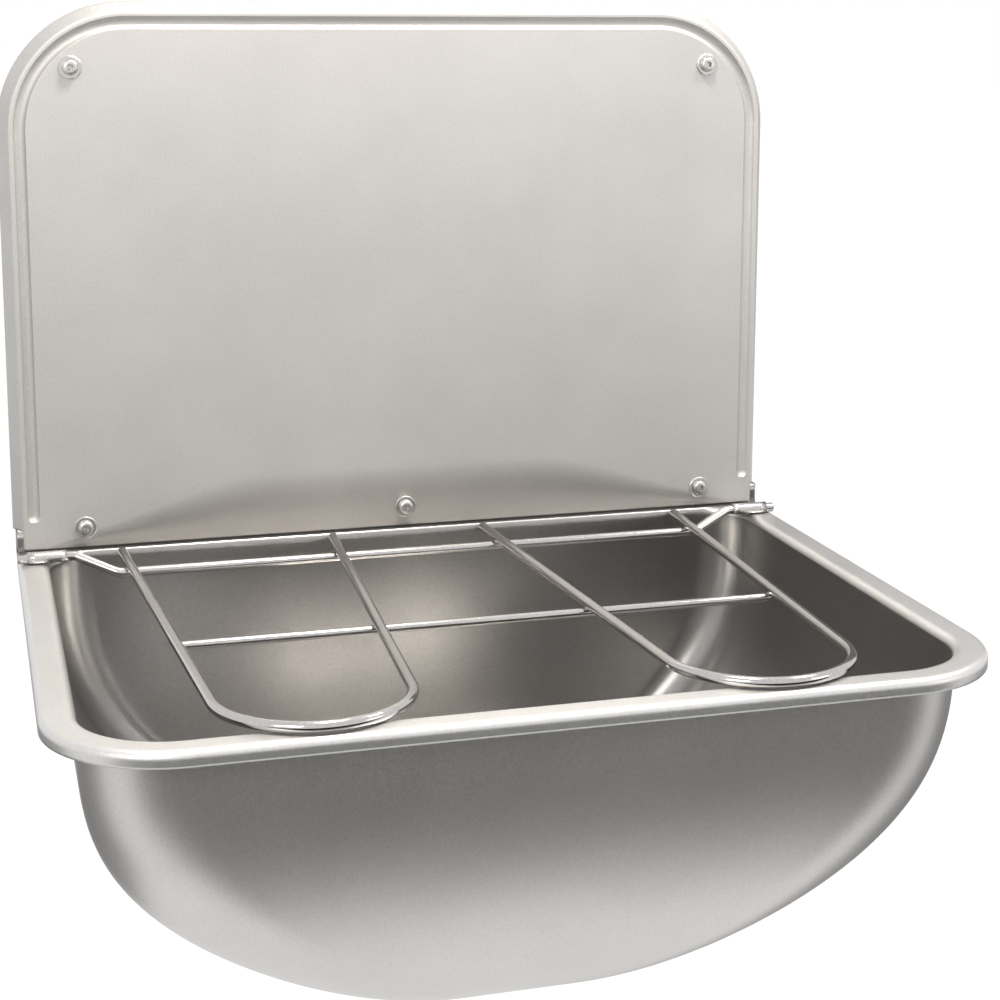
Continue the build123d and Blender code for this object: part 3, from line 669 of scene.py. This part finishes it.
class SINK_OT_splashback(bpy.types.Operator):
    """Pressed splashback with its groove, fold and flanges."""

    bl_idname = "slop_sink.splashback"
    bl_label = "Splashback"

    def execute(self, context):
        sizes, finish = settings().sheet, settings().finish
        mesh = mesh_of("splashback", [(panel_surface(sizes), False, True)], 40.0)
        material = steel("splashback_steel", finish.panel_tint, finish.panel_roughness,
                         ALONG_WALL, SHEET_GRAIN)
        add_piece("splashback", mesh, [material], "sink", ["splashback_panel"],
                  sizes.panel_sheet)
        return {"FINISHED"}


class SINK_OT_hinge_clips(bpy.types.Operator):
    """Two bent straps that hold the ends of the hinge bar."""

    bl_idname = "slop_sink.hinge_clips"
    bl_label = "Hinge clips"

    def execute(self, context):
        sizes, finish = settings().grate, settings().finish
        outer, foot_z, bend = sizes.clip_radius, -sizes.clip_drop, sizes.clip_bend
        turn = np.radians(np.linspace(220.0, 0.0, 30))
        over = np.stack([outer * np.cos(turn), outer * np.sin(turn)], axis=-1)
        heel = np.radians(np.linspace(180.0, 270.0, 7))
        bend_part = np.stack([
            outer + bend + bend * np.cos(heel), foot_z + bend + bend * np.sin(heel)], axis=-1)
        strip = np.concatenate([over, bend_part, [(sizes.clip_reach, foot_z)]])
        material = steel("clip_steel", finish.wire_tint, 0.28, ALONG_CLIP)
        for name, side in (("left", -1), ("right", 1)):
            low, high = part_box(f"hinge_clip_{name}")
            x = np.linspace(low.x, high.x, 6)
            grid = np.empty((len(strip), len(x), 3))
            grid[..., 0] = x
            grid[..., 1] = strip[:, :1] - sizes.hinge_from_wall
            grid[..., 2] = strip[:, 1:] + hinge_z
            mesh = mesh_of(f"hinge_clip_{name}_strap", [(grid, False, False)], 50.0)
            add_piece(f"hinge_clip_{name}_strap", mesh, [material], "sink",
                      [f"hinge_clip_{name}"], sizes.clip_sheet)
        return {"FINISHED"}


class SINK_OT_grate(bpy.types.Operator):
    """Hinged bucket grate: two loops, hinge bar, cross bar and their weld beads."""

    bl_idname = "slop_sink.grate"
    bl_label = "Bucket grate"

    def execute(self, context):
        sizes, finish = settings().grate, settings().finish
        material = steel("wire_steel", finish.wire_tint, finish.wire_roughness,
                         EVEN, 1200.0, 20.0, 0.12)
        radius = sizes.wire_radius
        rear_y, front_y = -sizes.rear_from_wall, loop_front + radius
        rear_z, front_z = rim_z - sizes.rear_below_rim, hinge_z
        slope = (front_z - rear_z) / (rear_y - front_y)
        lean = np.arctan(slope)
        along = np.array([0.0, -np.cos(lean), np.sin(lean)])
        normal = np.array([0.0, np.sin(lean), np.cos(lean)])
        reach = (rear_y - front_y) / np.cos(lean)
        bend, half = sizes.bend_radius, sizes.loop_half_width
        bend_at = reach - bend
        touch = np.arctan2(bend_at, half) - np.arccos(bend / np.hypot(half, bend_at))
        angle = np.linspace(touch, -np.pi - touch, 60)
        flat = np.stack([bend * np.cos(angle), bend_at - bend * np.sin(angle)], axis=-1)
        flat = np.concatenate([[(half, 0.0)], flat, [(-half, 0.0)]])
        bar_y, cross_y, sink = -sizes.bar_from_wall, -sizes.cross_from_wall, sizes.weld_sink
        leg_x = half + (flat[1, 0] - half) * (rear_y - bar_y) / flat[1, 1]
        mid_x = half + (flat[1, 0] - half) * (rear_y - cross_y) / flat[1, 1]
        bar_z = rear_z + slope * (rear_y - bar_y) - 2 * radius + sink
        cross_z = rear_z + slope * (rear_y - cross_y) - radius - sizes.cross_radius + sink
        beads = []
        for name, side in (("left", -1), ("right", 1)):
            centre = np.array([side * sizes.loop_centre, rear_y, rear_z])
            path = centre + flat[:, :1] * np.array([1.0, 0.0, 0.0]) + flat[:, 1:] * along
            mesh = mesh_of(f"{name}_loop_wire", [(wire(path, radius, normal), True, False)])
            add_piece(f"{name}_loop_wire", mesh, [material], "grate",
                      [f"grate_{name}_loop"])
            for leg in (-1, 1):
                beads.append((centre[0] + leg * leg_x, bar_y, bar_z + radius))
                beads.append((centre[0] + leg * mid_x, cross_y, cross_z + sizes.cross_radius))
        hinge_y = -sizes.hinge_from_wall
        right = [(sizes.joggle_inner, bar_y, bar_z), (sizes.joggle_outer, hinge_y, hinge_z),
                 (hinge_high.x, hinge_y, hinge_z)]
        left = [(-x, y, z) for x, y, z in reversed(right)]
        path = rounded_run(left + right, sizes.joggle_radius, 14, 2)
        offset = np.array([0.0, bar_y - hinge_y, bar_z - hinge_z])
        square = np.cross([1.0, 0.0, 0.0], offset / np.linalg.norm(offset))
        mesh = mesh_of("hinge_bar_wire", [(wire(path, radius, square), True, False)])
        add_piece("hinge_bar_wire", mesh, [material], "grate", ["grate_hinge_bar"])
        low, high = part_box("grate_cross_bar")
        path = np.array([
            (low.x, cross_y, cross_z), (0.0, cross_y, cross_z), (high.x, cross_y, cross_z)])
        mesh = mesh_of("cross_bar_wire", [
            (wire(path, sizes.cross_radius, np.array([0.0, 0.0, 1.0])), True, False)])
        add_piece("cross_bar_wire", mesh, [material], "grate", ["grate_cross_bar"])
        tilt = np.linspace(0.0, np.pi, 9)
        blobs = []
        for x, y, z in beads:
            blob = turned(sizes.bead * np.sin(tilt), z - 0.7 * sizes.bead * np.cos(tilt),
                          (x, y), 2, 16)
            blobs.append((blob, True, False))
        mesh = mesh_of("weld_beads", blobs)
        add_piece("weld_beads", mesh, [material], "grate", [])
        return {"FINISHED"}


class SINK_OT_wall_fixings(bpy.types.Operator):
    """Five wall screws with recessed heads and threads, and their washers."""

    bl_idname = "slop_sink.wall_fixings"
    bl_label = "Wall fixings"

    def screw(self, place):
        """A pan head whose face is a flattened dome less the cross recess, and a shank whose
        radius rises to the thread's crest once a turn along its length."""
        sizes = settings().fixing
        seat = -settings().sheet.panel_standoff - sizes.washer_height
        head, height = sizes.head_radius, sizes.head_height
        around_head, around_shank = np.ones(sizes.head_sides), np.ones(sizes.shank_sides)
        angle = np.linspace(0.0, 2 * np.pi, sizes.head_sides, endpoint=False)
        radii = head * np.linspace(0.0, 0.94, 26)[:, None] * around_head
        dome = (radii / head) ** 6 * height * 0.40
        x, z = radii * np.cos(angle), radii * np.sin(angle)
        arm_a, arm_b = (x + z) / np.sqrt(2), (x - z) / np.sqrt(2)
        half, reach = sizes.recess_half_width, sizes.recess_reach
        slot = np.maximum(
            ease((half - np.abs(arm_a)) / 0.0004) * ease((reach - np.abs(arm_b)) / 0.0005),
            ease((half - np.abs(arm_b)) / 0.0004) * ease((reach - np.abs(arm_a)) / 0.0005))
        face = seat - height + dome + sizes.recess_depth * slot
        edge_r = head * np.array([0.98, 1.0, 1.0, 0.97])
        edge_y = seat - height * np.array([0.45, 0.28, 0.06, 0.0])
        radii = np.concatenate([radii, edge_r[:, None] * around_head])
        face = np.concatenate([face, edge_y[:, None] * around_head])
        top = turned(radii, face, place, 1, sizes.head_sides)
        y = np.linspace(0.0, 1.0, 140) * sizes.thread_length
        turns = np.linspace(0.0, 1.0, sizes.shank_sides, endpoint=False)
        phase = y[:, None] / sizes.thread_pitch - turns
        crest = np.clip(1 - np.abs((phase % 1.0) - 0.5) * 5, 0.0, 1.0)
        root = sizes.shank_radius - 0.0003
        core = sizes.shank_radius + (root - sizes.shank_radius) * ease(y / 0.004)[:, None]
        fade = ease(y / 0.003)[:, None]
        shank = core + (sizes.thread_radius - core) * crest * fade
        share = np.linspace(0.0, 1.0, 12)[1:]
        tip_y = sizes.thread_length + sizes.tip_length * share
        tip = root * (1 - share)[:, None] * around_shank
        neck_y = np.array([seat, -0.001])
        neck = np.full((2, sizes.shank_sides), sizes.shank_radius)
        body = turned(np.concatenate([neck, shank, tip]), np.concatenate([neck_y, y, tip_y]),
                      place, 1, sizes.shank_sides)
        return [(top, True, True), (body, True, True)]

    def execute(self, context):
        sizes, finish = settings().fixing, settings().finish
        material = steel("fixing_steel", finish.fixing_tint, 0.30, EVEN, 1500.0, 60.0)
        face_y = -settings().sheet.panel_standoff
        bore, outer, edge = sizes.washer_bore, sizes.washer_radius, sizes.washer_edge
        radii = np.array([bore, bore, outer - edge, outer, outer, bore])
        front = sizes.washer_height
        depth = face_y - np.array([0, front, front, front - 0.75 * edge, 0, 0])
        for row, z, across in (("top", high_screw_z, (-screw_x, screw_x)),
                               ("bottom", low_screw_z, (-screw_x, 0.0, screw_x))):
            surfaces, discs = [], []
            for x in across:
                surfaces += self.screw((x, z))
                discs.append((turned(radii, depth, (x, z), 1, sizes.washer_sides), True, True))
            mesh = mesh_of(f"{row}_screw_turnings", surfaces, 35.0)
            add_piece(f"{row}_screw_turnings", mesh, [material], "sink",
                      [f"{row}_wall_screws"])
            mesh = mesh_of(f"{row}_washer_discs", discs, 35.0)
            add_piece(f"{row}_washer_discs", mesh, [material], "sink",
                      [f"{row}_screw_washers"])
        return {"FINISHED"}


class SINK_OT_waste(bpy.types.Operator):
    """Waste outlet: gives its kept body, gaskets, strainer and the strainer's screw their
    finishes.
    """

    bl_idname = "slop_sink.waste"
    bl_label = "Waste outlet"

    def execute(self, context):
        finish = settings().finish
        steel_finish = steel("strainer_steel", finish.wire_tint, 0.25, cloud=40.0)
        rubber = moulded("gasket_rubber", finish.rubber_tint, 0.75, 1200.0, 0.4)
        plastic = moulded("waste_plastic", finish.plastic_tint, 0.45, 2500.0, 0.15)
        finish_nodes(["waste_strainer", "waste_centre_screw"], steel_finish)
        finish_nodes(["waste_upper_gasket", "waste_lower_gasket"], rubber)
        finish_nodes(["waste_body"], plastic)
        return {"FINISHED"}


class SINK_OT_stage(bpy.types.Operator):
    """Pale floor and sky, unseen cards for the reflections, soft lamps, and the camera."""

    bl_idname = "slop_sink.stage"
    bl_label = "Stage"

    def lamp(self, name, place, aim, size, share, colour):
        """A soft area lamp turned to its aim, at a share of the key lamp's power."""
        light = bpy.data.lights.new(name, "AREA")
        light.shape = "RECTANGLE"
        light.size, light.size_y = size
        light.energy = settings().stage.key_power * share
        light.color = colour
        lamp = bpy.data.objects.new(name, light)
        way = Vector(aim) - Vector(place)
        lamp.matrix_world = (
            Matrix.Translation(place) @ way.to_track_quat("-Z", "Y").to_matrix().to_4x4())
        bpy.context.scene.collection.objects.link(lamp)

    def card(self, name, place, across, up, material):
        """A flat card out of the camera's sight: place plus shares of across and up."""
        u = np.linspace(-0.5, 0.5, 3)
        grid = (np.array(place) + u[None, :, None] * np.array(across)
                + u[:, None, None] * np.array(up))
        board = bpy.data.objects.new(name, mesh_of(name, [(grid, False, False)]))
        board.data.materials.append(material)
        board.visible_camera = False
        board.visible_shadow = False
        board.visible_diffuse = False
        bpy.context.scene.collection.objects.link(board)

    def execute(self, context):
        sizes = settings().stage
        scene = context.scene
        material, tree = new_material("floor_paint")
        share = add_node(tree, "ShaderNodeMath", {0: seen_rays(tree), 1: sizes.glow_share},
                         operation="MULTIPLY")
        plain = add_node(tree, "ShaderNodeBsdfDiffuse", {"Color": (*sizes.floor_tint, 1.0)})
        white = add_node(tree, "ShaderNodeEmission", {
            "Color": (1, 1, 1, 1), "Strength": sizes.floor_glow})
        mixed = add_node(tree, "ShaderNodeMixShader", {
            0: share.outputs[0], 1: plain.outputs[0], 2: white.outputs[0]})
        add_node(tree, "ShaderNodeOutputMaterial", {"Surface": mixed.outputs[0]})
        u = np.linspace(-30.0, 30.0, 5)
        grid = np.empty((5, 5, 3))
        grid[..., 0], grid[..., 1], grid[..., 2] = u[None, :], u[:, None], sizes.floor_level
        floor = bpy.data.objects.new("floor", mesh_of("floor", [(grid, False, False)]))
        floor.data.materials.append(material)
        scene.collection.objects.link(floor)

        world = bpy.data.worlds.new("studio")
        world.use_nodes = True
        scene.world = world
        tree = world.node_tree
        tree.nodes.clear()
        white = add_node(tree, "ShaderNodeBackground", {"Color": (1, 1, 1, 1), "Strength": 1.0})
        dim = add_node(tree, "ShaderNodeBackground", {
            "Color": (1.0, 0.99, 0.97, 1), "Strength": 0.6})
        mixed = add_node(tree, "ShaderNodeMixShader", {
            0: seen_rays(tree), 1: dim.outputs[0], 2: white.outputs[0]})
        add_node(tree, "ShaderNodeOutputWorld", {"Surface": mixed.outputs[0]})

        fading, tree = new_material("dark_card")
        place = add_node(tree, "ShaderNodeTexCoord").outputs["Object"]
        height = add_node(tree, "ShaderNodeSeparateXYZ", {"Vector": place}).outputs["Z"]
        glow = add_node(tree, "ShaderNodeMapRange", {
            "Value": height, "From Min": -0.93, "From Max": -0.35, "To Min": 0.95,
            "To Max": 0.03}, interpolation_type="SMOOTHSTEP")
        shade = add_node(tree, "ShaderNodeEmission", {
            "Color": (1, 1, 1, 1), "Strength": glow.outputs[0]})
        add_node(tree, "ShaderNodeOutputMaterial", {"Surface": shade.outputs[0]})
        self.card("front_card", (0.1, -0.75, -0.565), (1.7, 0, 0), (0, 0, 0.73), fading)
        grey, tree = new_material("grey_card")
        shade = add_node(tree, "ShaderNodeEmission", {"Color": (1, 1, 1, 1), "Strength": 0.20})
        add_node(tree, "ShaderNodeOutputMaterial", {"Surface": shade.outputs[0]})
        self.card("left_card", (-0.55, 0.15, -0.6), (-0.4, -0.7, 0), (0, 0, 0.68), grey)
        self.card("right_card", (0.50, 0.02, -0.6), (0.5, -0.75, 0), (0, 0, 0.68), grey)
        self.card("rear_card", (0.80, 0.70, 0.12), (0.9, -0.35, 0), (0, 0, 0.70), grey)

        for row in (
                ("key_lamp", (-0.9, -1.4, 0.60), (0, -0.15, -0.2), (0.7, 0.5), 1.0,
                 (1.0, 0.96, 0.9)),
                ("fill_lamp", (1.3, -1.2, 0.20), (0, -0.15, -0.2), (0.6, 0.6), 0.25,
                 (1.0, 0.97, 0.93)),
                ("high_lamp", (0.05, -0.26, 0.80), (0.08, -0.30, -0.3), (0.12, 0.16), 1.8,
                 (1.0, 0.93, 0.84)),
                ("side_lamp", (0.62, -0.30, 0.80), (0.0, -0.30, -0.3), (0.16, 0.16), 0.7,
                 (1.0, 0.97, 0.95))):
            self.lamp(*row)

        view = bpy.data.cameras.new("camera")
        view.lens = sizes.lens
        view.sensor_width = 36.0
        view.shift_y = -0.15
        eye = (-0.2752, -1.2277, 0.1714)
        yaw, pitch, roll = np.radians((15.62, 9.60, 0.10))
        forward = np.array([
            np.sin(yaw) * np.cos(pitch), np.cos(yaw) * np.cos(pitch), -np.sin(pitch)])
        right = np.array([np.cos(yaw), -np.sin(yaw), 0.0])
        up = np.cross(right, forward)
        right, up = (np.cos(roll) * right + np.sin(roll) * up,
                     np.cos(roll) * up - np.sin(roll) * right)
        camera = bpy.data.objects.new("camera", view)
        turn = Matrix([right, up, -forward]).transposed().to_4x4()
        camera.matrix_world = Matrix.Translation(eye) @ turn
        scene.collection.objects.link(camera)
        scene.camera = camera
        scene.view_settings.view_transform = "Standard"
        return {"FINISHED"}


class SINK_PT_panel(bpy.types.Panel):
    """Sizes, finishes and operators of the sink."""

    bl_idname = "SINK_PT_panel"
    bl_label = "Slop sink"
    bl_space_type = "VIEW_3D"
    bl_region_type = "UI"
    bl_category = "Slop sink"

    def draw(self, context):
        layout = self.layout
        sink = context.scene.slop_sink
        for group in (sink.sheet, sink.grate, sink.fixing, sink.finish, sink.stage):
            box = layout.box()
            for name in group.__annotations__:
                box.prop(group, name)
        for operator in OPERATORS:
            layout.operator(operator.bl_idname)


OPERATORS = (
    SINK_OT_stage, SINK_OT_bowl, SINK_OT_splashback, SINK_OT_hinge_clips, SINK_OT_grate,
    SINK_OT_wall_fixings, SINK_OT_waste)
CLASSES = (
    SINK_PG_sheet, SINK_PG_grate, SINK_PG_fixing, SINK_PG_finish, SINK_PG_stage,
    SINK_PG_settings, *OPERATORS, SINK_PT_panel)


def register():
    """Registers every class and hangs the settings on the scene."""
    for cls in CLASSES:
        bpy.utils.register_class(cls)
    bpy.types.Scene.slop_sink = PointerProperty(type=SINK_PG_settings)


def unregister():
    """Takes the settings and every class away again."""
    del bpy.types.Scene.slop_sink
    for cls in reversed(CLASSES):
        bpy.utils.unregister_class(cls)


def main():
    """Builds every piece."""
    register()
    for step in (
            bpy.ops.slop_sink.stage, bpy.ops.slop_sink.bowl, bpy.ops.slop_sink.splashback,
            bpy.ops.slop_sink.hinge_clips, bpy.ops.slop_sink.grate,
            bpy.ops.slop_sink.wall_fixings, bpy.ops.slop_sink.waste):
        if step() != {"FINISHED"}:
            raise RuntimeError("a piece of the sink was not built")


if __name__ == "__main__":
    main()
